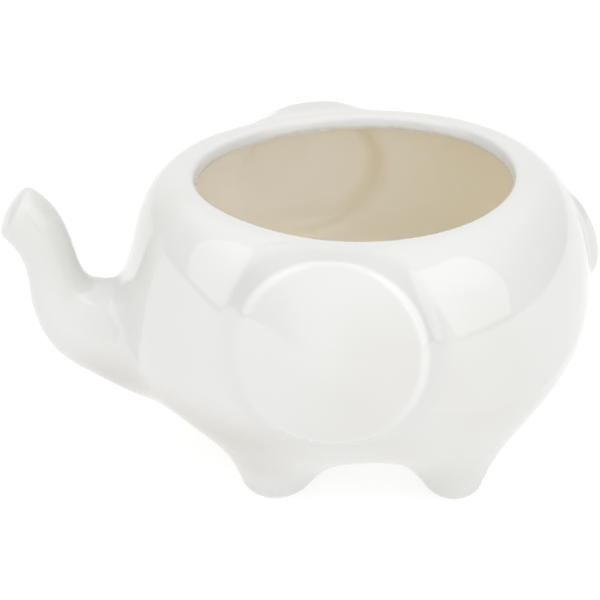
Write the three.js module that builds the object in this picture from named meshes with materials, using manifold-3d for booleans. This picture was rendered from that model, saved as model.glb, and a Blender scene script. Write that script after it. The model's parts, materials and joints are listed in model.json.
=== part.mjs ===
// A glazed earthenware succulent pot in the shape of a small elephant.
// A round bowl is the body and head; trunk, ears, tail and feet are cast sections luted on to it.
// Millimetres, +Z up, feet on z = 0, trunk towards -X, tail towards +X, left ear on -Y.

import * as THREE from 'three';
import { mergeVertices } from 'three/addons/utils/BufferGeometryUtils.js';
import Module from 'manifold-3d';

// Ware
const wallThickness = 4.3;
const seamGap = 0.3;

// Bowl
const bowlRadius = 78;
const bellyHeight = 58;
const bellyClearance = 9;
const rimHeight = 97.7;
const mouthRadius = 51.8;
const bellyDrop = 35;
const underbellyWidth = 46;
const shoulderRise = 21.5;
const shoulderWidth = 13.2;
const eggShape = 0.06;
const rimSaddle = 1.45;

// Ears
const earRadius = 29.5;
const earEdgeSlope = 4.5;
const earEdgeDepth = 5.2;
const earDome = 5.7;
const earBend = 3.1;
const earProud = 3.3;
const earForward = 11.5;
const earDrop = 27.4;
const earTurn = 12;
const earTilt = 11;
const earHollowRadius = 22.5;

// Trunk: reach out from the belly, lift above its widest line and radius at the root,
// and each station's share of the three
const trunkReach = 32.8;
const trunkLift = 29.8;
const trunkRootRadius = 22.5;
const trunkStations = [
  { out: -0.793, rise: -0.554, width: 1 },
  { out: -0.122, rise: -0.51, width: 0.933 },
  { out: 0.244, rise: -0.416, width: 0.764 },
  { out: 0.476, rise: -0.181, width: 0.613 },
  { out: 0.585, rise: 0.117, width: 0.493 },
  { out: 0.701, rise: 0.47, width: 0.436 },
  { out: 0.835, rise: 0.752, width: 0.404 },
  { out: 1, rise: 1, width: 0.373 },
];
const trunkNeckRadius = 15;
const trunkNeckDrop = 15;
const trunkNeckReach = 5;
const trunkBoreShare = 0.88;
const trunkTipRound = 1.6;

// Tail: where each station lies on the way from widest line to rim,
// and its depth under the surface and its width as shares of the radius
const tailRadius = 5.4;
const tailStations = [
  { upShoulder: 0.03, under: 0.41, width: 0.463 },
  { upShoulder: 0.21, under: 0.167, width: 0.852 },
  { upShoulder: 0.39, under: 0.093, width: 1 },
  { upShoulder: 0.63, under: 0.093, width: 0.963 },
  { upShoulder: 0.83, under: 0.222, width: 0.519 },
];

// Feet: their places under the belly as shares of its radius
const frontFeet = { forward: 0.346, aside: 0.436 };
const rearFeet = { forward: -0.385, aside: 0.5 };
const footPadRadius = 4.6;
const footRadius = 10.4;
const footRound = 6.5;
const footSpread = 0.95;
const footFillet = 7;

// Facets
const bowlFacets = 48;
const bowlSteps = 7;
const lipSteps = 3;
const earFacets = 28;
const earSteps = 4;
const footFacets = 20;
const footSteps = 4;
const trunkFacets = 22;
const trunkRings = 17;
const tailFacets = 14;
const tailRings = 10;

const lipRadius = wallThickness / 2;
const lipCentreRadius = mouthRadius + lipRadius;
const overshoot = 12;
const earReach = bowlRadius / 2;
const left = -1;
const right = 1;
const sides = [left, right];
const degrees = Math.PI / 180;

const wasm = await Module();
wasm.setup();

// Solids

function toSolid(geometry) {
  const bare = geometry.clone();
  bare.deleteAttribute('normal');
  bare.deleteAttribute('uv');
  const merged = mergeVertices(bare, 1e-4);
  const corners = merged.index.array;
  const kept = [];
  for (let i = 0; i < corners.length; i += 3) {
    const [a, b, c] = corners.subarray(i, i + 3);
    if (a !== b && b !== c && c !== a) kept.push(a, b, c);
  }
  return new wasm.Manifold(new wasm.Mesh({
    numProp: 3,
    vertProperties: new Float32Array(merged.attributes.position.array),
    triVerts: new Uint32Array(kept),
  }));
}

function toGeometry(solid) {
  const mesh = solid.getMesh();
  const geometry = new THREE.BufferGeometry();
  geometry.setAttribute('position', new THREE.BufferAttribute(mesh.vertProperties, 3));
  geometry.setIndex(new THREE.BufferAttribute(mesh.triVerts, 1));
  geometry.computeVertexNormals();
  return geometry;
}

// A profile of radius and height, bottom first, turned about the Z axis
function turned(points, facets) {
  const geometry = new THREE.LatheGeometry(points, facets);
  return geometry.rotateX(Math.PI / 2);
}

// A round tube with a radius of its own at each station, in the plane y = 0, with flat ends.
// It can be grown, stopped short of its last station, or eased at its far edge.
function taperedTube(stations, rings, facets, { grow = 0, until = 1, ease = 0 } = {}) {
  const curve = new THREE.CatmullRomCurve3(stations.map((s) => new THREE.Vector3(s.x, s.radius, s.z)));
  const positions = [];
  const triangles = [];
  const last = ease > 0 ? rings + 1 : rings;
  for (let ring = 0; ring <= last; ring += 1) {
    const share = (Math.min(ring, rings) / rings) * until;
    const eased = ring > rings ? ease : 0;
    const at = curve.getPoint(share);
    const heading = curve.getTangent(share).setY(0).normalize();
    const radius = at.y + grow - eased;
    const back = ease > 0 && ring === rings ? ease : 0;
    for (let facet = 0; facet < facets; facet += 1) {
      const angle = (facet / facets) * 2 * Math.PI;
      const across = radius * Math.cos(angle);
      positions.push(
        at.x - across * heading.z - back * heading.x,
        radius * Math.sin(angle),
        at.z + across * heading.x - back * heading.z,
      );
    }
  }
  for (let ring = 0; ring < last; ring += 1) {
    for (let facet = 0; facet < facets; facet += 1) {
      const a = ring * facets + facet;
      const b = ring * facets + ((facet + 1) % facets);
      triangles.push(a, a + facets, b, b, a + facets, b + facets);
    }
  }
  const end = last * facets;
  for (let facet = 1; facet < facets - 1; facet += 1) {
    triangles.push(0, facet, facet + 1);
    triangles.push(end, end + facet + 1, end + facet);
  }
  const geometry = new THREE.BufferGeometry();
  geometry.setAttribute('position', new THREE.Float32BufferAttribute(positions, 3));
  geometry.setIndex(triangles);
  return geometry;
}

// Bowl

function bowlProfile(inset) {
  const radius = bowlRadius - inset;
  const bottom = bellyClearance + inset;
  const top = rimHeight - inset;
  const path = new THREE.Path();
  path.moveTo(0, bottom);
  path.bezierCurveTo(
    underbellyWidth - inset / 2, bottom,
    radius, bellyHeight - bellyDrop + inset / 2,
    radius, bellyHeight,
  );
  path.bezierCurveTo(
    radius, bellyHeight + shoulderRise,
    lipCentreRadius + shoulderWidth, top,
    lipCentreRadius, top,
  );
  return path.getPoints(bowlSteps);
}

// The mouth is a little wider towards the tail, and the rim rises towards head and tail
function shapeBowl(geometry) {
  const position = geometry.attributes.position;
  for (let i = 0; i < position.count; i += 1) {
    const x = position.getX(i);
    const y = position.getY(i);
    const z = position.getZ(i);
    const rise = THREE.MathUtils.smoothstep(z, bellyHeight, rimHeight);
    const saddle = (rimSaddle * rise * (x * x - y * y)) / lipCentreRadius ** 2;
    position.setY(i, y * (1 + (eggShape * x) / bowlRadius));
    position.setZ(i, z + saddle);
  }
  return geometry;
}

function outerRadiusAt(height) {
  const points = bowlProfile(0);
  const above = points.findIndex((p) => p.y >= height);
  const [low, high] = [points[above - 1], points[above]];
  return THREE.MathUtils.mapLinear(height, low.y, high.y, low.x, high.x);
}

function bowlShell() {
  const lip = new THREE.Path();
  lip.absarc(lipCentreRadius, rimHeight - lipRadius, lipRadius, Math.PI / 2, 1.5 * Math.PI);
  const around = lip.getPoints(lipSteps).slice(1, -1);
  const inside = bowlProfile(wallThickness).reverse();
  return toSolid(shapeBowl(turned([...bowlProfile(0), ...around, ...inside], bowlFacets)));
}

// The bowl filled in, with the space above its mouth, as the sections on its outside meet it
function bowlEnvelope(grow) {
  const points = bowlProfile(-grow);
  points.push(new THREE.Vector2(lipCentreRadius, rimHeight + overshoot));
  points.push(new THREE.Vector2(0, rimHeight + overshoot));
  return toSolid(shapeBowl(turned(points, bowlFacets)));
}

function bowlCavity() {
  const points = bowlProfile(wallThickness);
  points.push(new THREE.Vector2(mouthRadius, rimHeight - lipRadius));
  points.push(new THREE.Vector2(mouthRadius, rimHeight + overshoot));
  points.push(new THREE.Vector2(0, rimHeight + overshoot));
  return toSolid(shapeBowl(turned(points, bowlFacets)));
}

function bowl() {
  let solid = bowlShell().subtract(trunkNeck(seamGap));
  for (const side of sides) {
    solid = solid.subtract(earWindow(side, seamGap));
    for (const pair of [frontFeet, rearFeet]) {
      solid = solid.subtract(footNeck(pair, side, seamGap));
    }
  }
  return solid;
}

// Ears: a domed round cap bent over the bowl's side, trimmed level with the rim.
// Its hollow back fills a round window in the wall and is open to the inside.

function placeEar(geometry, side) {
  const position = geometry.attributes.position;
  for (let i = 0; i < position.count; i += 1) {
    const sag = earBend * (position.getY(i) / earRadius) ** 2;
    position.setZ(i, position.getZ(i) - sag);
  }
  const outward = new THREE.Vector3(
    -Math.sin(earTurn * degrees) * Math.cos(earTilt * degrees),
    side * Math.cos(earTurn * degrees) * Math.cos(earTilt * degrees),
    Math.sin(earTilt * degrees),
  );
  const along = new THREE.Vector3(0, 0, 1).cross(outward).normalize();
  const upward = new THREE.Vector3().crossVectors(outward, along);
  const height = rimHeight - earDrop;
  const aside = Math.sqrt(outerRadiusAt(height) ** 2 - earForward ** 2);
  const place = new THREE.Matrix4().makeBasis(along, upward, outward);
  return geometry.applyMatrix4(place.setPosition(-earForward, side * aside, height));
}

function earDisc(side) {
  const edge = earProud - earDome;
  const path = new THREE.Path();
  path.moveTo(0, -earReach);
  path.lineTo(earRadius + earEdgeSlope, -earReach);
  path.lineTo(earRadius + earEdgeSlope, edge - earEdgeDepth);
  path.lineTo(earRadius, edge);
  path.quadraticCurveTo(earRadius / 2, earProud, 0, earProud);
  return toSolid(placeEar(turned(path.getPoints(earSteps), earFacets), side));
}

function earWindow(side, grow) {
  const radius = earHollowRadius + wallThickness + grow;
  const column = new THREE.CylinderGeometry(radius, radius, 2 * earReach, earFacets);
  return toSolid(placeEar(column.rotateX(Math.PI / 2), side));
}

function earHollow(side) {
  const ceiling = earProud - wallThickness;
  const path = new THREE.Path();
  path.moveTo(0, -earReach);
  path.lineTo(earHollowRadius, -earReach);
  path.lineTo(earHollowRadius, ceiling - earDome * (earHollowRadius / earRadius) ** 2);
  path.quadraticCurveTo(earHollowRadius / 2, ceiling, 0, ceiling);
  return toSolid(placeEar(turned(path.getPoints(earSteps), earFacets), side));
}

function ear(side) {
  const aboveRim = new THREE.BoxGeometry(4 * bowlRadius, 4 * bowlRadius, bowlRadius);
  aboveRim.translate(0, 0, rimHeight + bowlRadius / 2);
  const disc = earDisc(side).subtract(toSolid(aboveRim));
  const cap = disc.subtract(bowlEnvelope(seamGap));
  const back = disc.intersect(earWindow(side, 0));
  return cap.add(back).subtract(earHollow(side)).subtract(bowlCavity());
}

// Trunk: a tapering tube with a blunt tip, hollow as far as the tip.
// Its root spreads over the head, and a neck through the wall opens it to the inside.

function trunkTube(shape, widest = Infinity) {
  const along = trunkStations.map(({ out, rise, width }) => ({
    x: -bowlRadius - out * trunkReach,
    z: bellyHeight + rise * trunkLift,
    radius: Math.min(width * trunkRootRadius, widest),
  }));
  return toSolid(taperedTube(along, trunkRings, trunkFacets, shape));
}

function trunkNeck(grow) {
  const radius = trunkNeckRadius + grow;
  const length = bowlRadius / 2 + trunkNeckReach;
  const column = new THREE.CylinderGeometry(radius, radius, length, trunkFacets).rotateZ(Math.PI / 2);
  const middle = -bowlRadius - trunkNeckReach + length / 2;
  return toSolid(column.translate(middle, 0, bellyHeight - trunkNeckDrop));
}

function trunk() {
  const bore = trunkTube({ grow: -wallThickness, until: trunkBoreShare }, trunkNeckRadius);
  const outside = trunkTube({ ease: trunkTipRound }).subtract(bowlEnvelope(seamGap));
  return outside.add(trunkNeck(0)).subtract(bore).subtract(bowlCavity());
}

// Tail: a solid roll pressed on to the back of the bowl

function tail() {
  const along = tailStations.map(({ upShoulder, under, width }) => {
    const z = THREE.MathUtils.lerp(bellyHeight, rimHeight, upShoulder);
    return { x: outerRadiusAt(z) - under * tailRadius, z, radius: width * tailRadius };
  });
  return toSolid(taperedTube(along, tailRings, tailFacets)).subtract(bowlEnvelope(seamGap));
}

// Feet: stubby cups with a flat pad, spread over the belly where they meet it.
// A neck through the wall opens each hollow foot to the inside.

// How far a point lies from the bowl's axis, with the egg shape taken out
function offAxis(x, y) {
  return Math.hypot(x, y / (1 + (eggShape * x) / bowlRadius));
}

// The belly's outside over a point, level with its widest line beyond it
function underbellyAt(x, y) {
  const radius = Math.min(offAxis(x, y), bowlRadius);
  const points = bowlProfile(0);
  const beyond = points.findIndex((p) => p.x >= radius);
  const [near, far] = [points[beyond - 1], points[beyond]];
  return THREE.MathUtils.mapLinear(radius, near.x, far.x, near.y, far.y);
}

function footPlace({ forward, aside }, side) {
  return { x: -forward * bowlRadius, y: side * aside * bowlRadius };
}

function footBody(pair, side) {
  const { x, y } = footPlace(pair, side);
  const rootRadius = (bowlRadius - offAxis(x, y)) * footSpread;
  const seat = wallThickness / 2;
  const rootHeight = underbellyAt(x, y) + seat;
  const path = new THREE.Path();
  path.moveTo(0, 0);
  path.lineTo(footPadRadius, 0);
  path.quadraticCurveTo(footRadius, 0, footRadius, footRound);
  path.quadraticCurveTo(footRadius + footFillet, rootHeight, rootRadius, rootHeight);
  path.lineTo(0, rootHeight);
  const geometry = turned(path.getPoints(footSteps), footFacets).translate(x, y, 0);
  const position = geometry.attributes.position;
  for (let i = 0; i < position.count; i += 1) {
    const height = position.getZ(i);
    const share = THREE.MathUtils.smoothstep(height, footRound / 2, rootHeight);
    const slope = underbellyAt(position.getX(i), position.getY(i)) + seat - rootHeight;
    position.setZ(i, height + share * slope);
  }
  return toSolid(geometry);
}

function footNeck(pair, side, grow) {
  const { x, y } = footPlace(pair, side);
  const radius = footRadius + grow;
  const length = bellyHeight - footRound;
  const column = new THREE.CylinderGeometry(radius, radius, length, footFacets);
  return toSolid(column.rotateX(Math.PI / 2).translate(x, y, footRound + length / 2));
}

function footHollow(pair, side) {
  const { x, y } = footPlace(pair, side);
  const radius = footRadius - wallThickness;
  const path = new THREE.Path();
  path.moveTo(0, wallThickness);
  path.lineTo(radius / 2, wallThickness);
  path.quadraticCurveTo(radius, wallThickness, radius, wallThickness + footRound / 2);
  path.lineTo(radius, bellyHeight);
  path.lineTo(0, bellyHeight);
  const geometry = turned(path.getPoints(footSteps), footFacets);
  return toSolid(geometry.translate(x, y, 0));
}

function foot(pair, side) {
  const outside = footBody(pair, side).subtract(bowlEnvelope(seamGap)).subtract(trunkTube({ grow: seamGap }));
  return outside.add(footNeck(pair, side, 0)).subtract(footHollow(pair, side)).subtract(bowlCavity());
}

// Assembly

const glazes = {
  bowl: 0xebebe8,
  trunk: 0xecece9,
  ear: 0xededea,
  tail: 0xeaeae7,
  foot: 0xe9e9e5,
};

function section(name, solid, colour) {
  const material = new THREE.MeshStandardMaterial({ color: colour, roughness: 0.12, metalness: 0 });
  const mesh = new THREE.Mesh(toGeometry(solid), material);
  mesh.name = name;
  return mesh;
}

const sections = new THREE.Group();
sections.add(section('bowl', bowl(), glazes.bowl));
sections.add(section('trunk', trunk(), glazes.trunk));
sections.add(section('tail', tail(), glazes.tail));
for (const [sideName, side] of [['left', left], ['right', right]]) {
  sections.add(section(`${sideName}_ear`, ear(side), glazes.ear));
  sections.add(section(`front_${sideName}_foot`, foot(frontFeet, side), glazes.foot));
  sections.add(section(`rear_${sideName}_foot`, foot(rearFeet, side), glazes.foot));
}

// The origin is under the middle of the whole pot
const middle = new THREE.Box3().setFromObject(sections).getCenter(new THREE.Vector3());
sections.position.x = -middle.x;

const pot = new THREE.Group();
pot.add(sections);

export default pot;
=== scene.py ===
import json
import math

import bmesh
import bpy
from mathutils import Matrix, Vector

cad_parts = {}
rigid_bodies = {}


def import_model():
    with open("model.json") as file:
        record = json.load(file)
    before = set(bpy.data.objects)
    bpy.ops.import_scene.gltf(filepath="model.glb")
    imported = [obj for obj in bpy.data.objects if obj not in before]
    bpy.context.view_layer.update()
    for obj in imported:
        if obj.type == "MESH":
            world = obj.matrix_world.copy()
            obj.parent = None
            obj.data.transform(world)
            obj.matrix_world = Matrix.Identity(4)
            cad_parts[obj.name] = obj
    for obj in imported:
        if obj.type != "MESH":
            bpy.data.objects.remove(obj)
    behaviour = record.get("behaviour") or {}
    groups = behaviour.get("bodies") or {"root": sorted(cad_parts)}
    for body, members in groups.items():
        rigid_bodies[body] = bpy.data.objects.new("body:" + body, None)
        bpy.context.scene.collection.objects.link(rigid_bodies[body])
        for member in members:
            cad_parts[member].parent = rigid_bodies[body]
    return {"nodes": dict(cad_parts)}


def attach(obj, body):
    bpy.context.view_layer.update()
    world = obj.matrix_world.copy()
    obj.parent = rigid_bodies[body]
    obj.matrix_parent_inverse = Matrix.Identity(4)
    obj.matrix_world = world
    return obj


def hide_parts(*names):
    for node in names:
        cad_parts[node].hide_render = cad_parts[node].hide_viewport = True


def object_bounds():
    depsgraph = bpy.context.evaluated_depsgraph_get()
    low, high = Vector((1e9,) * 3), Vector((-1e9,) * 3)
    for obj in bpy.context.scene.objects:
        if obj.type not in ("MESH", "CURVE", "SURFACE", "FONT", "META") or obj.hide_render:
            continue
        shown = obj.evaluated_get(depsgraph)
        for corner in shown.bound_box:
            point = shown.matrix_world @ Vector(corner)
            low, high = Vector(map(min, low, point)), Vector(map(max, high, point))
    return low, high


for leftover in list(bpy.data.objects):
    bpy.data.objects.remove(leftover)  # a new file's cube, lamp and camera
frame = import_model()
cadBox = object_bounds()
mm = 0.001
axisX = 17.675 * mm  # the bowl's upright axis, in the row frame
print("frame loaded:", len(frame["nodes"]), "sections")


# Camera at the photograph's angle

shot = {  # mm and degrees
    "lookAt": (-0.32, 0.0, 52.5),
    "elevation": 26.5,
    "azimuth": -2.5,
    "distance": 900.0,
    "lens": 162.0,
}


def facing(azimuth, elevation):
    # from the pot towards what stands round it, where 0, 0 is level before the near ear
    turn = math.radians(azimuth)
    up = math.radians(elevation)
    return Vector((math.sin(turn) * math.cos(up), -math.cos(turn) * math.cos(up), math.sin(up)))


def setCamera(shot):
    back = facing(shot["azimuth"], shot["elevation"])
    data = bpy.data.cameras.new("photoCamera")
    data.lens = shot["lens"]
    data.sensor_width = 36.0
    data.clip_start = 0.01
    data.clip_end = 20.0
    camera = bpy.data.objects.new("photoCamera", data)
    camera.location = (Vector(shot["lookAt"]) + back * shot["distance"]) * mm
    camera.rotation_mode = "QUATERNION"
    camera.rotation_quaternion = (-back).to_track_quat("-Z", "Y")
    bpy.context.scene.collection.objects.link(camera)
    bpy.context.scene.camera = camera


setCamera(shot)
print("camera set")


# Formulas in a node tree: sums of sockets that read as sums of numbers

def feed(tree, value, socket):
    if isinstance(value, Formula):
        tree.links.new(value.socket, socket)
    elif isinstance(value, bpy.types.NodeSocket):
        tree.links.new(value, socket)
    else:
        socket.default_value = value


class Formula:
    def __init__(self, tree, socket):
        self.tree = tree
        self.socket = socket

    def math(self, operation, *others):
        node = self.tree.nodes.new("ShaderNodeMath")
        node.operation = operation
        for value, target in zip((self, *others), node.inputs):
            feed(self.tree, value, target)
        return Formula(self.tree, node.outputs[0])

    def __add__(self, other):
        return self.math("ADD", other)

    def __radd__(self, other):
        return self.math("ADD", other)

    def __sub__(self, other):
        return self.math("SUBTRACT", other)

    def __rsub__(self, other):
        return self.math("MULTIPLY", -1.0).math("ADD", other)

    def __mul__(self, other):
        return self.math("MULTIPLY", other)

    def __rmul__(self, other):
        return self.math("MULTIPLY", other)

    def __truediv__(self, other):
        return self.math("DIVIDE", other)

    def __neg__(self):
        return self.math("MULTIPLY", -1.0)

    def squared(self):
        return self.math("MULTIPLY", self)

    def root(self):
        return self.math("SQRT")

    def atLeast(self, other, ease=None):
        if ease is None:
            return self.math("MAXIMUM", other)
        return self.math("SMOOTH_MAX", other, ease)

    def atMost(self, other, ease=None):
        if ease is None:
            return self.math("MINIMUM", other)
        return self.math("SMOOTH_MIN", other, ease)


def span(*sides):
    total = sides[0].squared()
    for side in sides[1:]:
        total = total + side.squared()
    return total.root()


def parts(tree, vector):
    node = tree.nodes.new("ShaderNodeSeparateXYZ")
    feed(tree, vector, node.inputs[0])
    return [Formula(tree, socket) for socket in node.outputs]


def vectorOf(tree, x, y, z):
    node = tree.nodes.new("ShaderNodeCombineXYZ")
    for value, target in zip((x, y, z), node.inputs):
        feed(tree, value, target)
    return node.outputs[0]


def turned(tree, vector, axis, angle):
    node = tree.nodes.new("ShaderNodeVectorRotate")
    node.rotation_type = axis + "_AXIS"
    feed(tree, vector, node.inputs["Vector"])
    feed(tree, angle, node.inputs["Angle"])
    return node.outputs[0]


def eased(tree, value, start, end):
    node = tree.nodes.new("ShaderNodeMapRange")
    node.interpolation_type = "SMOOTHSTEP"
    feed(tree, value, node.inputs["Value"])
    feed(tree, start, node.inputs["From Min"])
    feed(tree, end, node.inputs["From Max"])
    return Formula(tree, node.outputs[0])


def newTree(name, takes, gives):
    tree = bpy.data.node_groups.new(name, "GeometryNodeTree")
    for label, kind in takes:
        tree.interface.new_socket(label, in_out="INPUT", socket_type="NodeSocket" + kind)
    for label, kind in gives:
        tree.interface.new_socket(label, in_out="OUTPUT", socket_type="NodeSocket" + kind)
    inside = tree.nodes.new("NodeGroupInput")
    outside = tree.nodes.new("NodeGroupOutput")
    return tree, inside.outputs, outside.inputs


# The pot's shape as one rule: how far any point lies from the ware's surface

pot = {
    "wall": 4.3 * mm,
    "bowlRadius": 78.0 * mm,
    "bellyHeight": 58.0 * mm,
    "bellyClear": 11.0 * mm,
    "bellySquare": 0.36,
    "chinSag": 6.5 * mm,
    "rearLift": 1.2 * mm,
    "headIn": 0.7 * mm,
    "rimHeight": 98.3 * mm,
    "lipRadius": 53.95 * mm,
    "rimSaddle": 0.85 * mm,
    "rimTilt": 0.8 * mm,
    "lipForward": 2.8 * mm,
    "lipRound": 3.2 * mm,
    "lipSwell": 0.3 * mm,
    "lipCone": 0.30,
    "lipDepth": 8.0 * mm,
    "lipEdge": 1.5 * mm,
    "lipNarrow": 0.02,
    "mouthForward": 1.1 * mm,
    "mouthNarrow": 0.045,
    "mouthTaper": 0.07,
    "shoulderSquare": 0.05,
    "browSlack": 0.25,
    "eggShape": 0.06,
    "earRadius": 29.8 * mm,
    "earSquash": 0.97,
    "earSlope": 4.5 * mm,
    "slopeLeast": 0.4,
    "slopeMore": 0.6,
    "earDepth": 5.2 * mm,
    "earDome": 5.7 * mm,
    "earBend": 3.1 * mm,
    "earProud": 3.3 * mm,
    "earForward": 12.7 * mm,
    "earAside": 75.95 * mm,
    "earHeight": 70.4 * mm,
    "earDrop": 0.6 * mm,
    "earSink": 3.0 * mm,
    "earSinkForward": 33.0 * mm,
    "earSinkDown": 3.0 * mm,
    "earTurn": math.radians(10.0),
    "earTilt": math.radians(12.0),
    "earEdge": 1.5 * mm,
    "earFillet": 1.3 * mm,
    "earBack": 14.0 * mm,
    "earLipGap": 1.2 * mm,
    "earLipEase": 3.0 * mm,
    "earHollow": 24.5 * mm,
    "dishEase": 4.5 * mm,
    "dishEaseBefore": 6.0 * mm,
    "trunkRoot": 22.0 * mm,
    "trunkRun": 96.3 * mm,
    "trunkCrook": 10.0 * mm,
    "trunkFillet": 11.0 * mm,
    "trunkSide": 7.5 * mm,
    "chinFillet": 14.0 * mm,
    "trunkTipEdge": 3.0 * mm,
    "trunkTipDome": 22.0 * mm,
    "trunkTipOut": 2.4 * mm,
    "trunkTipWall": 8.0 * mm,
    "frontFootRadius": 9.0 * mm,
    "rearFootRadius": 7.4 * mm,
    "footFlare": 0.28,
    "frontFootLean": 0.15,
    "rearFootLean": -0.10,
    "footRound": 4.8 * mm,
    "footFillet": 24.0 * mm,
    "footTop": 40.0 * mm,
    "footPad": 1.5 * mm,
    "footPadEase": 3.0 * mm,
    "footHollowEase": 9.0 * mm,
    "frontFootX": -27.9 * mm,
    "frontFootY": 34.0 * mm,
    "rearFootX": 31.2 * mm,
    "rearFootY": 39.0 * mm,
    "tailHeight": 74.8 * mm,
    "tailX": 73.9 * mm,
    "tailLength": 14.6 * mm,
    "tailWidth": 5.9 * mm,
    "tailLean": math.radians(19.0),
    "tailFillet": 5.0 * mm,
}
bowlSizes = ["bowlRadius", "bellyHeight", "bellyClear", "bellySquare", "rimHeight"]
trunkLine = {  # each stretch's start, two handles and end in mm: from the bowl's axis, above the table
    "rootPath": [
        [(-60.0, 42.6), (-71.2, 41.4), (-81.2, 42.8), (-88.1, 46.8)],
    ],
    "shankPath": [
        [(-88.1, 46.8), (-92.5, 49.2), (-95.8, 52.6), (-97.4, 57.1)],
        [(-97.4, 57.1), (-99.9, 66.6), (-101.2, 80.8), (-111.2, 86.9)],
    ],
}
trunkWidths = [  # share of the run, and half the width there in mm
    (0.0, 22.0), (0.135, 19.3), (0.19, 17.8), (0.25, 16.0), (0.335, 13.5),
    (0.38, 12.4), (0.42, 11.8), (0.48, 11.0), (0.54, 10.1), (0.60, 9.4),
    (0.68, 8.8), (0.77, 9.0), (0.87, 9.5), (1.0, 9.4),
]
zones = {  # where a form sets in and where it is full, in mm
    "sagBelow": (8.0, 40.0),
    "sagAbove": (96.0, 70.0),
    "headFront": (-8.0, -48.0),
    "cheekBelow": (46.0, 62.0),
    "cheekAbove": (86.0, 68.0),
    "brim": (86.0, 96.0),
    "lipFront": (-22.0, -54.0),
    "browFront": (-12.0, -54.0),
    "browCrease": (48.0, 58.0),
    "chinCrease": (48.0, 34.0),
    "earSunk": (30.0, 4.0),
    "earFlush": (24.0, 9.0),
    "stepFace": (-0.2, -1.2),
    "stepBack": (-8.0, -4.5),
    "stepOut": (3.5, 0.5),
    "stepIn": (-4.0, -1.5),
    "stepUp": (-24.0, -6.0),
    "rimNear": (1.2, 0.3),
    "rimUp": (-12.0, 14.0),
    "ringNear": (5.5, 0.5),
    "ringFace": (0.0, -3.0),
    "ringBack": (-12.0, -8.0),
}
bearings = {  # the same round the ear, from 1 straight behind to -1 straight before
    "slopeBehind": (0.1, 0.9),
    "slopeBefore": (-0.1, -0.8),
    "dishBefore": (0.2, -0.6),
    "ringBehind": (-0.1, 0.6),
}
earShadeAndHighlight = {"stepLeast": 0.35, "rimLeast": 0.25, "rimLean": 0.6}  # what is left of the painted shade and painted highlight low on the ear
leastSteep = 0.0001  # keeps a quotient finite
leastRise = 0.001


def bowlForm():
    takes = [("radius", "Float"), ("height", "Float"), ("inset", "Float")]
    takes = takes + [("lip", "Float"), ("shoulderSquare", "Float")]
    takes = takes + [(name, "Float") for name in bowlSizes]
    tree, given, result = newTree("bowl form", takes, [("distance", "Float")])
    at = {name: Formula(tree, given[name]) for name, kind in takes}
    radius, height, inset = at["radius"], at["height"], at["inset"]

    def quarter(over, across, up, upward, square):
        # how far outside a squared-off quarter ellipse, from its level and its slope
        level = over.squared() + up.squared() - square * over.squared() * up.squared() - 1.0
        steepOver = over * (1.0 - square * up.squared()) / across
        steepUp = up * (1.0 - square * over.squared()) / upward
        return level / (span(steepOver, steepUp) * 2.0).atLeast(leastSteep)

    # shoulder: from the widest line up to the lip
    across = at["bowlRadius"] - inset - at["lip"]
    upward = at["rimHeight"] - inset - at["bellyHeight"]
    over = (radius - at["lip"]).atLeast(0.0) / across
    up = ((height - at["bellyHeight"]) / upward).atLeast(leastRise)
    shoulder = quarter(over, across, up, upward, at["shoulderSquare"])
    # belly: from the widest line down to the underside
    wide = at["bowlRadius"] - inset
    deep = at["bellyHeight"] - at["bellyClear"] - inset
    down = ((at["bellyHeight"] - height) / deep).atLeast(0.0)
    belly = quarter(radius / wide, wide, down, deep, at["bellySquare"])
    above = height.math("GREATER_THAN", at["bellyHeight"])
    feed(tree, belly + above * (shoulder - belly), result["distance"])
    return tree


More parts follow.
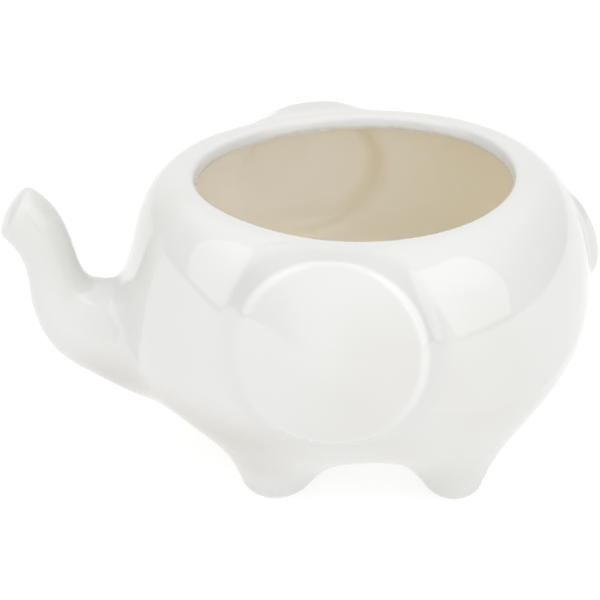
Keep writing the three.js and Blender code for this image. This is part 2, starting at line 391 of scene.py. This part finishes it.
def potForm():
    takes = [("place", "Vector"), ("rootPath", "Geometry"), ("shankPath", "Geometry")]
    takes = takes + [(name, "Float") for name in pot]
    gives = [(name, "Float") for name in ["surface", "hollow", "step", "rim", "ring"]]
    tree, given, result = newTree("pot form", takes, gives)
    at = {name: Formula(tree, given[name]) for name in pot}
    rowX, y, z = parts(tree, given["place"])
    x = rowX - axisX
    wall = at["wall"]

    def within(value, zone):
        start, end = zones[zone]
        return eased(tree, value, start * mm, end * mm)

    # bowl, egg-shaped from above, with a rim that dips at the ears
    eggY = y / (1.0 + at["eggShape"] * x / at["bowlRadius"])
    rise = eased(tree, z, at["bellyHeight"], at["rimHeight"])
    saddle = at["rimSaddle"] * rise * (x.squared() - eggY.squared()) / at["lipRadius"].squared()
    saddle = saddle + at["rimTilt"] * rise * x / at["lipRadius"]
    # the widest line hangs lower under the trunk than at the tail
    sag = within(z, "sagBelow") * within(z, "sagAbove")
    lift = (at["chinSag"] * x.atMost(0.0) + at["rearLift"] * x.atLeast(0.0)) / at["bowlRadius"]
    height = z - saddle - sag * lift
    # the head is slim above the trunk, and the mouth is longer than it is wide
    front = within(x, "headFront")
    cheek = within(z, "cheekBelow") * within(z, "cheekAbove")
    brim = within(z, "brim")
    radius = span(x - at["headIn"] * front * cheek, eggY * (1.0 + at["lipNarrow"] * brim))
    lipRadius = at["lipRadius"] + at["lipForward"] * within(x, "lipFront")
    shoulderSquare = at["shoulderSquare"] - at["browSlack"] * front
    formTree = bowlForm()

    def bowl(inset):
        node = tree.nodes.new("GeometryNodeGroup")
        node.node_tree = formTree
        feed(tree, radius, node.inputs["radius"])
        feed(tree, height, node.inputs["height"])
        feed(tree, inset, node.inputs["inset"])
        feed(tree, lipRadius, node.inputs["lip"])
        feed(tree, shoulderSquare, node.inputs["shoulderSquare"])
        for name in bowlSizes:
            feed(tree, at[name], node.inputs[name])
        return Formula(tree, node.outputs[0])

    outside = bowl(0.0)
    hollow = bowl(wall + at["lipSwell"] * brim)

    # trunk: a round tube along its path, closed by a low dome at the tip
    def tube(path):
        near = tree.nodes.new("GeometryNodeProximity")
        near.target_element = "EDGES"
        tree.links.new(given[path], near.inputs[0])
        feed(tree, given["place"], near.inputs["Sample Position"])
        nearest = parts(tree, near.outputs["Position"])
        rootX, rootZ = trunkLine["rootPath"][0][0]
        share = (rootX * mm + axisX - nearest[0] + nearest[2] - rootZ * mm) / at["trunkRun"]
        widths = tree.nodes.new("ShaderNodeFloatCurve")
        curve = widths.mapping.curves[0]
        rootWidth = trunkWidths[0][1]
        shares = [(along, width / rootWidth) for along, width in trunkWidths]
        curve.points[0].location = shares[0]
        curve.points[1].location = shares[-1]
        for point in shares[1:-1]:
            curve.points.new(*point)
        widths.mapping.update()
        feed(tree, share, widths.inputs["Value"])
        width = Formula(tree, widths.outputs[0]) * at["trunkRoot"]
        return Formula(tree, near.outputs["Distance"]) - width

    # the two lines join softly, which rounds the inner side of the bend
    trunk = tube("rootPath").atMost(tube("shankPath"), at["trunkCrook"])
    (fromX, fromZ), (tipX, tipZ) = trunkLine["shankPath"][-1][2:]
    along = Vector((tipX - fromX, tipZ - fromZ)).normalized()
    pastTip = (x - tipX * mm) * along.x + (z - tipZ * mm) * along.y
    aside = (x - tipX * mm) * along.y - (z - tipZ * mm) * along.x
    dome = (aside.squared() + y.squared()) / (2.0 * at["trunkTipDome"])
    pastTip = pastTip + dome - at["trunkTipOut"]
    bore = (trunk + wall).atLeast(pastTip + at["trunkTipWall"], at["trunkTipEdge"])
    # the root runs softly into the brow and the chin, and meets the cheeks in a crease
    crease = at["trunkSide"] + (at["trunkFillet"] - at["trunkSide"]) * within(z, "browCrease")
    crease = crease + at["chinFillet"] * within(z, "chinCrease")
    outside = outside.atMost(trunk.atLeast(pastTip, at["trunkTipEdge"]), crease)
    hollow = hollow.atMost(bore, at["trunkFillet"])

    # feet: stubby rounded posts that flare into the belly
    for pair in ["frontFoot", "rearFoot"]:
        lean = at[pair + "Lean"]  # towards the other pair
        aside = span(x - at[pair + "X"] - lean * z, y.math("ABSOLUTE") - at[pair + "Y"])
        stub = at[pair + "Radius"] + (at["footFlare"] + lean.math("ABSOLUTE")) * z
        sideways = (aside - stub + at["footRound"]).atLeast(0.0)
        under = (at["footRound"] - z).atLeast(0.0)
        post = (span(sideways, under) - at["footRound"]).atLeast(z - at["footTop"])
        outside = outside.atMost(post, at["footFillet"])
        deep = (aside - stub + wall).atLeast(wall + at["footPad"] - z, at["footPadEase"])
        hollow = hollow.atMost(deep.atLeast(z - at["footTop"]), at["footHollowEase"])

    # tail: a long drop that lies down the back
    fromTail = vectorOf(tree, x - at["tailX"], y, z - at["tailHeight"])
    tailX, tailY, tailZ = parts(tree, turned(tree, fromTail, "Y", at["tailLean"]))
    wide, long = at["tailWidth"], at["tailLength"]
    tailReach = span(tailX / wide, tailY / wide, tailZ / long)
    tailSteep = span(tailX / wide / wide, tailY / wide / wide, tailZ / long / long)
    tail = tailReach * (tailReach - 1.0) / tailSteep.atLeast(leastSteep)
    outside = outside.atMost(tail, at["tailFillet"])

    # ears: domed discs with a crisp sloping edge, level with the rim on top
    fromEar = vectorOf(tree, x + at["earForward"], y.math("ABSOLUTE") - at["earAside"], z - at["earHeight"])
    fromEar = turned(tree, fromEar, "Z", -at["earTurn"])
    earX, earOut, earUp = parts(tree, turned(tree, fromEar, "X", -at["earTilt"]))
    earOut = earOut + at["earBend"] * (earUp / at["earRadius"]).squared()
    # the front of the ear sinks into the cheek
    toCheek = span(earX + at["earSinkForward"], earUp + at["earSinkDown"])
    earOut = earOut + at["earSink"] * within(toCheek, "earSunk")
    earSpan = span(earX, earUp / at["earSquash"])
    share = earSpan / at["earRadius"]
    lean = 2.0 * at["earDome"] * share / at["earRadius"]
    face = (earOut - at["earProud"] + at["earDome"] * share.squared()) / (lean.squared() + 1.0).root()
    edgeOut = earOut - at["earProud"] + at["earDome"]
    # the edge spreads behind and before, and drops nearly straight on top
    behind = earX / earSpan.atLeast(mm)
    spread = at["slopeLeast"] + at["slopeMore"] * eased(tree, behind, *bearings["slopeBehind"])
    spread = spread + at["slopeMore"] * eased(tree, behind, *bearings["slopeBefore"])
    spread = at["earSlope"] * spread
    edge = (earSpan - at["earRadius"]) * at["earDepth"] + edgeOut * spread
    edge = edge / span(at["earDepth"], spread)
    ear = face.atLeast(edge, at["earEdge"]).atLeast(-earOut - at["earBack"])
    ear = ear.atLeast(z - at["rimHeight"] + at["earDrop"], at["earEdge"])
    ear = ear.atLeast(lipRadius + at["earLipGap"] - radius, at["earLipEase"])
    outside = outside.atMost(ear, at["earFillet"])
    soft = at["dishEase"] + at["dishEaseBefore"] * eased(tree, behind, *bearings["dishBefore"])
    dish = (face + wall).atLeast(earSpan - at["earHollow"], soft)
    hollow = hollow.atMost(dish, soft)
    # painted shade in the step behind the ear's edge, strongest on the upper half, and a painted highlight
    # along the edge itself
    proud = 1.0 - within(toCheek, "earFlush")
    beyond = earSpan - at["earRadius"]
    step = proud * within(face, "stepFace") * within(face, "stepBack")
    step = step * within(beyond - spread, "stepOut") * within(beyond, "stepIn")
    least = earShadeAndHighlight["stepLeast"]
    step = step * (least + (1.0 - least) * within(earUp, "stepUp"))
    least = earShadeAndHighlight["rimLeast"]
    # painted highlight along the ear's edge, brightest on top and behind
    rim = proud * within(span(face, edge), "rimNear")
    rim = rim * (least + (1.0 - least) * within(earUp + earShadeAndHighlight["rimLean"] * earX, "rimUp"))
    # inside, painted shade along the back of the ear's dish
    ring = within((earSpan - at["earHollow"]).math("ABSOLUTE"), "ringNear")
    ring = ring * within(face, "ringFace") * within(face, "ringBack")
    ring = ring * eased(tree, behind, *bearings["ringBehind"])

    # the ware is what lies outside the hollow and the mouth, with a rounded lip
    brow = within(x, "browFront")
    mouth = span(x, eggY * (1.0 + at["mouthNarrow"] + at["mouthTaper"] * brow))
    mouth = mouth - at["lipRadius"] - at["mouthForward"] * brow + wall / 2.0
    below = (at["rimHeight"] - z).atLeast(0.0).atMost(at["lipDepth"])
    mouth = (mouth + at["lipCone"] * below).atLeast(at["bellyHeight"] - z)  # narrower below the lip's top
    ware = outside.atLeast(-mouth, at["lipRound"]).atLeast(-hollow, at["lipEdge"])
    feed(tree, ware.atLeast(-z), result["surface"])
    feed(tree, hollow, result["hollow"])
    feed(tree, step, result["step"])
    feed(tree, rim, result["rim"])
    feed(tree, ring, result["ring"])
    return tree


# Skin of the ware: voxels filled by the rule, then corners settled on the surface

skin = {
    "voxel": 1.04 * mm,
    "quickVoxel": 1.6 * mm,
    "margin": 8.0 * mm,
    "slopeStep": 0.05 * mm,
    "slopeLeast": 0.05,
    "relaxing": 3,
    "pathPoints": 90,
}


def ruled(tree, given, formTree):
    # the two lines that the trunk follows, and the rule at any place
    strands = {}
    for name in trunkLine:
        line = tree.nodes.new("GeometryNodeJoinGeometry")
        for stretch in reversed(trunkLine[name]):
            path = tree.nodes.new("GeometryNodeCurvePrimitiveBezierSegment")
            path.inputs["Resolution"].default_value = skin["pathPoints"]
            for (x, z), end in zip(stretch, ["Start", "Start Handle", "End Handle", "End"]):
                path.inputs[end].default_value = (x * mm + axisX, 0.0, z * mm)
            tree.links.new(path.outputs[0], line.inputs[0])
        strand = tree.nodes.new("GeometryNodeCurveToMesh")
        tree.links.new(line.outputs[0], strand.inputs[0])
        strands[name] = strand.outputs[0]

    def form(place, wanted="surface"):
        node = tree.nodes.new("GeometryNodeGroup")
        node.node_tree = formTree
        feed(tree, place, node.inputs["place"])
        for path in strands:
            tree.links.new(strands[path], node.inputs[path])
        for name in pot:
            tree.links.new(given[name], node.inputs[name])
        return Formula(tree, node.outputs[wanted])

    return form


def potTree(formTree):
    takes = [("ground", "Geometry")] + [(name, "Float") for name in pot]
    takes = takes + [("voxel", "Float"), ("low", "Vector"), ("high", "Vector"), ("glaze", "Material")]
    tree, given, result = newTree("pot", takes, [("pot", "Geometry")])
    form = ruled(tree, given, formTree)
    new = tree.nodes.new
    link = tree.links.new
    place = new("GeometryNodeInputPosition").outputs[0]

    # a block of voxels filled by the rule, and the skin where it crosses nought
    block = new("GeometryNodeVolumeCube")
    feed(tree, -form(place), block.inputs["Density"])
    block.inputs["Background"].default_value = -1.0
    link(given["low"], block.inputs["Min"])
    link(given["high"], block.inputs["Max"])
    for low, high, count in zip(parts(tree, given["low"]), parts(tree, given["high"]), "XYZ"):
        voxels = (high - low) / Formula(tree, given["voxel"])
        feed(tree, voxels, block.inputs["Resolution " + count])
    shell = new("GeometryNodeVolumeToMesh")
    shell.inputs["Threshold"].default_value = 0.0
    link(block.outputs[0], shell.inputs["Volume"])
    mesh = shell.outputs[0]

    # every corner slides along the slope of the rule until it lies on the surface
    def settle(mesh):
        step = skin["slopeStep"]
        here = form(place)
        slopes = []
        for ahead in [(step, 0, 0), (0, step, 0), (0, 0, step)]:
            move = new("ShaderNodeVectorMath")
            link(place, move.inputs[0])
            move.inputs[1].default_value = ahead
            slopes.append((form(move.outputs[0]) - here) / step)
        size = slopes[0].squared() + slopes[1].squared() + slopes[2].squared()
        scale = -(here / size.atLeast(skin["slopeLeast"]))
        shift = vectorOf(tree, *[slope * scale for slope in slopes])
        moved = new("GeometryNodeSetPosition")
        link(mesh, moved.inputs["Geometry"])
        link(shift, moved.inputs["Offset"])
        return moved.outputs[0]

    def relax(mesh):
        blur = new("GeometryNodeBlurAttribute")
        blur.data_type = "FLOAT_VECTOR"
        blur.inputs["Iterations"].default_value = skin["relaxing"]
        values = [socket for socket in blur.inputs if socket.name == "Value" and socket.type == "VECTOR"]
        link(place, values[0])
        results = [socket for socket in blur.outputs if socket.type == "VECTOR"]
        moved = new("GeometryNodeSetPosition")
        link(mesh, moved.inputs["Geometry"])
        link(results[0], moved.inputs["Position"])
        return moved.outputs[0]

    mesh = settle(settle(mesh))
    mesh = settle(settle(relax(mesh)))
    smooth = new("GeometryNodeSetShadeSmooth")
    link(mesh, smooth.inputs["Geometry"])
    real = new("GeometryNodeRealizeInstances")
    link(smooth.outputs[0], real.inputs[0])
    paint = new("GeometryNodeSetMaterial")
    link(real.outputs[0], paint.inputs["Geometry"])
    link(given["glaze"], paint.inputs["Material"])
    link(paint.outputs[0], result["pot"])
    return tree


def coatTree(formTree):
    # how deep each corner lies in the hollow, in mm, and where shade and highlight are painted round the
    # ears
    takes = [("section", "Geometry")] + [(name, "Float") for name in pot] + [("glaze", "Material")]
    tree, given, result = newTree("coat", takes, [("section", "Geometry")])
    form = ruled(tree, given, formTree)
    place = tree.nodes.new("GeometryNodeInputPosition").outputs[0]
    mesh = given["section"]
    coats = [("hollow", form(place, "hollow") / mm)]
    coats = coats + [(name, form(place, name)) for name in ["step", "rim", "ring"]]
    for name, value in coats:
        store = tree.nodes.new("GeometryNodeStoreNamedAttribute")
        store.data_type = "FLOAT"
        store.domain = "POINT"
        store.inputs["Name"].default_value = name
        tree.links.new(mesh, store.inputs["Geometry"])
        values = [socket for socket in store.inputs if socket.name == "Value" and socket.type == "VALUE"]
        feed(tree, value, values[0])
        mesh = store.outputs[0]
    real = tree.nodes.new("GeometryNodeRealizeInstances")
    tree.links.new(mesh, real.inputs[0])
    paint = tree.nodes.new("GeometryNodeSetMaterial")
    tree.links.new(real.outputs[0], paint.inputs["Geometry"])
    tree.links.new(given["glaze"], paint.inputs["Material"])
    tree.links.new(paint.outputs[0], result["section"])
    return tree


def grown(piece, tree, values):
    nodes = piece.modifiers.new(tree.name, "NODES")
    nodes.node_group = tree
    for item in tree.interface.items_tree:
        if item.in_out == "INPUT" and item.name in values:
            nodes[item.identifier] = values[item.name]
    mesh = bakedMesh(piece)
    piece.modifiers.remove(nodes)
    piece.data = mesh


def bakedMesh(piece):
    bpy.context.view_layer.update()
    graph = bpy.context.evaluated_depsgraph_get()
    ready = piece.evaluated_get(graph)
    return bpy.data.meshes.new_from_object(ready, preserve_all_data_layers=True, depsgraph=graph)


def makePot(formTree, material):
    piece = bpy.data.objects.new("potBlank", bpy.data.meshes.new("potBlank"))
    bpy.context.scene.collection.objects.link(piece)
    values = dict(pot, glaze=material, voxel=skin["voxel"])
    values["low"] = [edge - skin["margin"] for edge in cadBox[0]]
    values["high"] = [edge + skin["margin"] for edge in cadBox[1]]
    grown(piece, potTree(formTree), values)
    print("pot blank:", len(piece.data.vertices), "corners,", len(piece.data.polygons), "faces")
    return piece


# Glaze: glossy white outside, thin satin cream inside, bare clay where a foot stands

finish = {
    "white": (0.634, 0.633, 0.619, 1.0),
    # warm white for random thin patches, and painted shade low on the body
    "warmWhite": (0.546, 0.531, 0.497, 1.0),
    # painted shade in the step behind the ear's edge
    "stepShade": (0.597, 0.596, 0.584, 1.0),
    # painted highlight along the ear's edge
    "edgeHighlight": (0.678, 0.678, 0.665, 1.0),
    "cream": (0.948, 0.888, 0.748, 1.0),
    "creamLight": (0.990, 0.965, 0.915, 1.0),
    # painted shade inside, low down and along the back of the ear's dish
    "shadedCream": (0.922, 0.858, 0.720, 1.0),
    "clay": (0.62, 0.52, 0.40, 1.0),
    "speck": (0.16, 0.12, 0.09, 1.0),
    "gloss": 0.035,
    "satin": 0.28,
    "bareRough": 0.5,
    "ior": 1.6,
    "patches": 14.0,  # this and the other patterns to the metre
    "patchRange": (0.45, 0.75),
    "patchMost": 0.4,
    "underLeast": 0.2,
    "clouds": 22.0,
    "cloudRange": (0.3, 0.7),
    "cloudMost": 0.35,
    "lightMost": 0.8,
    "bottomShadeMost": 0.9,
    "specks": 62.0,
    "speckRange": (0.03, 0.018),
    "speckChance": 0.985,
    "waves": 38.0,
    "waveHeight": 0.10,  # mm, as is the grain's
    "grain": 900.0,
    "grainHeight": 0.03,
}
coatZones = {  # where a coat sets in and where it is full, in mm
    "overLip": (0.75, 0.35),
    "bareFoot": (0.35, 0.1),
    "chinBehind": (5.0, -25.0),
    "chinBefore": (-82.0, -60.0),
    "underAbove": (48.0, 30.0),
    "underBelow": (8.0, 22.0),
    "creamTail": (62.0, 8.0),
    "creamBottom": (30.0, 66.0),
    "creamShadeBelow": (60.0, 36.0),
}


def glazeMaterial(finish):
    material = bpy.data.materials.new("whiteGlaze")
    material.use_nodes = True
    tree = material.node_tree
    shader = tree.nodes["Principled BSDF"]
    new = tree.nodes.new
    link = tree.links.new
    place = new("ShaderNodeTexCoord").outputs["Object"]

    def noise(scale, detail=2.0):
        node = new("ShaderNodeTexNoise")
        node.inputs["Scale"].default_value = scale
        node.inputs["Detail"].default_value = detail
        link(place, node.inputs["Vector"])
        return node.outputs[0]

    def within(value, zone, unit=mm):
        start, end = coatZones[zone]
        return eased(tree, value, start * unit, end * unit)

    def blended(share, first, second):
        node = new("ShaderNodeMix")
        node.data_type = "RGBA"
        feed(tree, share, node.inputs[0])
        feed(tree, first, node.inputs[6])
        feed(tree, second, node.inputs[7])
        return node.outputs[2]

    def stored(name):
        node = new("ShaderNodeAttribute")
        node.attribute_name = name
        return Formula(tree, node.outputs["Fac"])

    coords = parts(tree, place)
    length, height = coords[0], coords[2]
    inside = within(stored("hollow"), "overLip", 1.0)  # the white coat runs over the lip
    bare = within(height, "bareFoot")

    # the white coat is a little warmer in random patches where it ran thin, and warmer and darker low on
    # the body, most under the chin, as painted shade; greyer in the step behind the ear's edge as painted
    # shade, and whiter along the edge as a painted highlight
    thinAndUnderShade = eased(tree, noise(finish["patches"]), *finish["patchRange"]) * finish["patchMost"]
    chin = within(length, "chinBehind") * within(length, "chinBefore")
    under = within(height, "underAbove") * within(height, "underBelow")
    least = finish["underLeast"]
    # painted shade low on the body, most under the chin
    thinAndUnderShade = thinAndUnderShade.atLeast(under * (least + (1.0 - least) * chin))
    white = blended(thinAndUnderShade, finish["white"], finish["warmWhite"])
    # painted shade in the step behind the ear's edge
    white = blended(stored("step"), white, finish["stepShade"])
    # painted highlight along the ear's edge
    white = blended(stored("rim"), white, finish["edgeHighlight"])
    # the cream coat is lighter in random clouds, yellower towards the tail, and darker and yellower towards
    # the bottom as painted shade
    cloud = eased(tree, noise(finish["clouds"], 4.0), *finish["cloudRange"]) * finish["cloudMost"]
    light = cloud + within(length, "creamTail") * finish["lightMost"]
    # painted shade: the lighter cream fades out towards the bottom
    light = light * within(height, "creamBottom")
    cream = blended(light, finish["cream"], finish["creamLight"])
    # painted shade along the back of the ear's dish and low inside
    creamShade = stored("ring").atLeast(within(height, "creamShadeBelow") * finish["bottomShadeMost"])
    cream = blended(creamShade, cream, finish["shadedCream"])

    # a few pinhead specks of iron in the coat
    spots = new("ShaderNodeTexVoronoi")
    spots.inputs["Scale"].default_value = finish["specks"]
    link(place, spots.inputs["Vector"])
    dot = eased(tree, spots.outputs["Distance"], *finish["speckRange"])
    chance = parts(tree, spots.outputs["Color"])[0].math("GREATER_THAN", finish["speckChance"])
    white = blended(dot * chance, white, finish["speck"])

    coat = blended(inside, white, cream)
    link(blended(bare, coat, finish["clay"]), shader.inputs["Base Color"])
    rough = finish["gloss"] + inside * (finish["satin"] - finish["gloss"])
    feed(tree, rough + bare * finish["bareRough"], shader.inputs["Roughness"])
    shader.inputs["IOR"].default_value = finish["ior"]

    # the coat flowed out not quite even, and the inside kept a fine grain
    waves = Formula(tree, noise(finish["waves"], 1.0)) * finish["waveHeight"] * mm
    grain = Formula(tree, noise(finish["grain"], 3.0)) * inside * finish["grainHeight"] * mm
    bump = new("ShaderNodeBump")
    bump.inputs["Strength"].default_value = 1.0
    bump.inputs["Distance"].default_value = 1.0
    feed(tree, waves + grain, bump.inputs["Height"])
    link(bump.outputs[0], shader.inputs["Normal"])
    return material


glaze = glazeMaterial(finish)
print("glaze mixed")
formTree = potForm()
blank = makePot(formTree, glaze)


# Sections: the blank is parted where a potter would lute the pieces together

seams = {  # lengths in mm, reaches from end to end of a cutter
    "facets": 96,
    "facetTurn": 0.37,
    "trunkSeam": 27.0,
    "trunkFlare": 90.0,
    "trunkReach": (-50.0, -10.0, 0.0, 50.0),
    "trunkFront": -86.0,
    "trunkMiddle": 43.0,
    "earSeam": 36.5,
    "earReach": (-24.0, 20.0),
    "lipKept": 57.6,
    "lipReach": (20.0, 120.0),
    "footSeam": 19.0,
    "footReach": (-6.0, 46.0),
    "tailSeam": (9.5, 20.5),
    "tailBack": 76.0,
    "tailReach": (-18.0, 20.0),
}


def lathe(name, outline, stand):
    facets = seams["facets"]
    work = bmesh.new()
    rings = []
    for radius, along in outline:
        ring = []
        for turn in range(facets):
            angle = 2 * math.pi * (turn + seams["facetTurn"]) / facets
            ring.append(work.verts.new((radius * math.cos(angle), radius * math.sin(angle), along)))
        rings.append(ring)
    for low, high in zip(rings, rings[1:]):
        for turn in range(facets):
            after = (turn + 1) % facets
            work.faces.new((low[turn], low[after], high[after], high[turn]))
    work.faces.new(list(reversed(rings[0])))
    work.faces.new(rings[-1])
    work.transform(stand)
    bmesh.ops.recalc_face_normals(work, faces=work.faces)
    mesh = bpy.data.meshes.new(name)
    work.to_mesh(mesh)
    work.free()
    piece = bpy.data.objects.new(name, mesh)
    bpy.context.scene.collection.objects.link(piece)
    return piece


def post(name, radius, reach, stand):
    return lathe(name, [(radius, end) for end in reach], stand)


def stood(x, y, z, axis=(0, 0, 1), stretch=(1, 1, 1)):
    # from mm about the bowl's axis to the row frame, with the cutter's length along the axis given
    place = Matrix.Translation((x * mm + axisX, y * mm, z * mm))
    aim = Vector((0, 0, 1)).rotation_difference(Vector(axis)).to_matrix().to_4x4()
    return place @ aim @ Matrix.Diagonal((*stretch, 1.0)) @ Matrix.Scale(mm, 4)


def parted(piece, cutter, how):
    knife = piece.modifiers.new("part", "BOOLEAN")
    knife.operation = how
    knife.solver = "MANIFOLD"
    knife.object = cutter
    mesh = bakedMesh(piece)
    piece.modifiers.remove(knife)
    return mesh


def discard(piece):
    bpy.data.objects.remove(piece)


def earCutter(side):
    turn, tilt = pot["earTurn"], pot["earTilt"]
    outward = (-math.sin(turn) * math.cos(tilt), side * math.cos(turn) * math.cos(tilt), math.sin(tilt))
    stand = stood(-pot["earForward"] / mm, side * pot["earAside"] / mm, pot["earHeight"] / mm, outward)
    cutter = post("earSeam", seams["earSeam"], seams["earReach"], stand)
    keep = post("lipKept", seams["lipKept"], seams["lipReach"], stood(0, 0, 0))
    cutter.data = parted(cutter, keep, "DIFFERENCE")
    discard(keep)
    return cutter


def footCutter(pair, side):
    stand = stood(pot[pair + "FootX"] / mm, side * pot[pair + "FootY"] / mm, 0)
    return post("footSeam", seams["footSeam"], seams["footReach"], stand)


def trunkCutter():
    wide, flare = seams["trunkSeam"], seams["trunkFlare"]
    outline = list(zip([wide, wide, flare, flare], seams["trunkReach"]))
    stand = stood(seams["trunkFront"], 0, seams["trunkMiddle"], (-1, 0, 0))
    return lathe("trunkSeam", outline, stand)


def tailCutter():
    wide, long = seams["tailSeam"]
    stand = stood(seams["tailBack"], 0, pot["tailHeight"] / mm, (1, 0, 0), (long, wide, 1))
    return post("tailSeam", 1, seams["tailReach"], stand)


def evenSheen(piece, blank):
    # the coat runs over the seams, so the shading does too
    carry = piece.modifiers.new("sheen", "DATA_TRANSFER")
    carry.object = blank
    carry.use_loop_data = True
    carry.data_types_loops = {"CUSTOM_NORMAL"}
    carry.loop_mapping = "POLYINTERP_NEAREST"
    mesh = bakedMesh(piece)
    piece.modifiers.remove(carry)
    piece.data = mesh


def makeSections(blank, formTree, glaze):
    left, right = -1, 1
    cutters = {
        "trunk": trunkCutter(),
        "left_ear": earCutter(left),
        "right_ear": earCutter(right),
        "front_left_foot": footCutter("front", left),
        "front_right_foot": footCutter("front", right),
        "rear_left_foot": footCutter("rear", left),
        "rear_right_foot": footCutter("rear", right),
        "tail": tailCutter(),
    }
    rest = bpy.data.objects.new("rest", blank.data.copy())
    bpy.context.scene.collection.objects.link(rest)
    sections = {}
    for node, cutter in cutters.items():
        mesh = parted(rest, cutter, "INTERSECT")
        rest.data = parted(rest, cutter, "DIFFERENCE")
        sections[node] = mesh
        discard(cutter)
    sections["bowl"] = rest.data
    coat = coatTree(formTree)
    for node, mesh in sections.items():
        piece = bpy.data.objects.new("glazed_" + node, mesh)
        bpy.context.scene.collection.objects.link(piece)
        grown(piece, coat, dict(pot, glaze=glaze))
        evenSheen(piece, blank)
        piece.data.name = piece.name
        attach(piece, "root")
        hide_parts(node)
        print("section", node, len(piece.data.polygons), "faces")
    discard(rest)
    discard(blank)


makeSections(blank, formTree, glaze)


# Studio: pale lit floor, soft white surroundings, a tall softbox at either side and a fill in front

studio = {
    "floor": (0.41, 0.41, 0.41, 1.0),
    "floorGlow": 0.70,
    "air": 0.71,
    "airAbove": 0.62,
    "airBefore": 0.34,
    "airAside": -0.28,
    "airBehind": 0.30,
    "aboveFrom": (0.4, 1.0),
    "beforeFrom": (0.4, 1.0),
    "asideFrom": (0.4, 0.95),
    "behindFrom": (0.2, 1.0),
    "floorHalf": 4.0,
    "away": 1.4,
    "aim": (0.0, 0.0, 0.07),
}
softboxes = {
    "rightSoftbox": {"round": 54.0, "up": 36.5, "size": (0.96, 1.86), "glow": 0.94, "mirrored": True},
    "leftSoftbox": {"round": -77.0, "up": 34.0, "size": (0.94, 1.75), "glow": 0.85, "mirrored": True},
    "frontFill": {"round": -6.0, "up": 19.0, "size": (0.90, 0.50), "glow": 1.48, "mirrored": False},
}


def makeFloor(studio):
    mesh = bpy.data.meshes.new("floor")
    far = studio["floorHalf"]
    mesh.from_pydata([(-far, -far, 0), (far, -far, 0), (far, far, 0), (-far, far, 0)], [], [(0, 1, 2, 3)])
    ground = bpy.data.objects.new("floor", mesh)
    bpy.context.scene.collection.objects.link(ground)
    paper = bpy.data.materials.new("paper")
    paper.use_nodes = True
    shader = paper.node_tree.nodes["Principled BSDF"]
    shader.inputs["Base Color"].default_value = studio["floor"]
    shader.inputs["Roughness"].default_value = 0.9
    shader.inputs["Specular IOR Level"].default_value = 0.0
    shader.inputs["Emission Color"].default_value = (1, 1, 1, 1)
    shader.inputs["Emission Strength"].default_value = studio["floorGlow"]
    mesh.materials.append(paper)


def makeSoftbox(studio, name, box):
    light = bpy.data.lights.new(name, "AREA")
    light.shape = "RECTANGLE"
    light.size, light.size_y = box["size"]
    light.energy = box["glow"] * math.pi * light.size * light.size_y
    softbox = bpy.data.objects.new(name, light)
    toward = facing(box["round"], box["up"])
    softbox.location = Vector(studio["aim"]) + toward * studio["away"]
    softbox.rotation_mode = "QUATERNION"
    softbox.rotation_quaternion = (-toward).to_track_quat("-Z", "Y")
    softbox.visible_glossy = box["mirrored"]
    bpy.context.scene.collection.objects.link(softbox)


def makeStudio(studio):
    makeFloor(studio)
    world = bpy.data.worlds.new("studio")
    world.use_nodes = True
    tree = world.node_tree
    air = tree.nodes["Background"]
    air.inputs["Color"].default_value = (1, 1, 1, 1)
    # the room is brightest above the pot and dimmest at its sides
    x, y, z = parts(tree, tree.nodes.new("ShaderNodeTexCoord").outputs["Generated"])
    above = eased(tree, z, *studio["aboveFrom"])
    before = eased(tree, -y, *studio["beforeFrom"])
    aside = eased(tree, x.math("ABSOLUTE"), *studio["asideFrom"])
    behind = eased(tree, y, *studio["behindFrom"])
    strength = studio["air"] + above * studio["airAbove"] + before * studio["airBefore"]
    strength = strength + aside * studio["airAside"] + behind * studio["airBehind"]
    feed(tree, strength, air.inputs["Strength"])
    bpy.context.scene.world = world
    for name, box in softboxes.items():
        makeSoftbox(studio, name, box)
    bpy.context.scene.view_settings.view_transform = "Standard"


makeStudio(studio)
print("studio lit")
